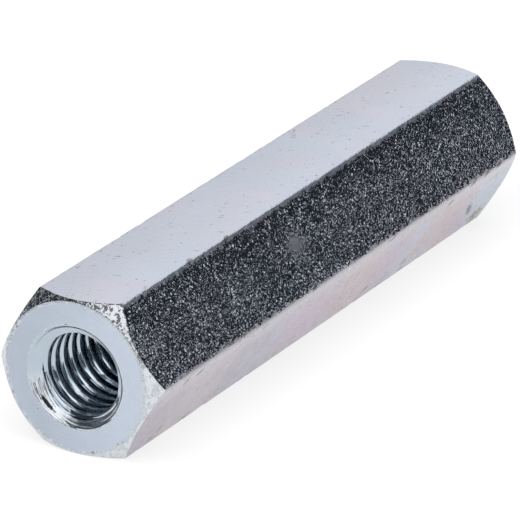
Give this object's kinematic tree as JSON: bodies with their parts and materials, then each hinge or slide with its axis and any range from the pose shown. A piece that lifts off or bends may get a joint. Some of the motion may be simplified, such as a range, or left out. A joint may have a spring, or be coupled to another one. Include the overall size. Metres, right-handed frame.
{
  "type": "hexagonal threaded spacer",
  "caption": "Long hexagonal steel spacer, chamfered at both ends, with a countersunk M8 tapped hole in each end.",
  "frame": {"origin": "middle of the bar, on its axis", "axes": "+X along the bar's axis, +Z square to the flat that faces up, with the opposite flat resting below"},
  "size_m": [0.06, 0.015, 0.013],
  "materials": {
    "zinc_plated_steel": "blue-white passivated zinc plating on drawn steel bar"
  },
  "bodies": {
    "root": {"hex_spacer": "zinc_plated_steel"}
  },
  "joints": []
}
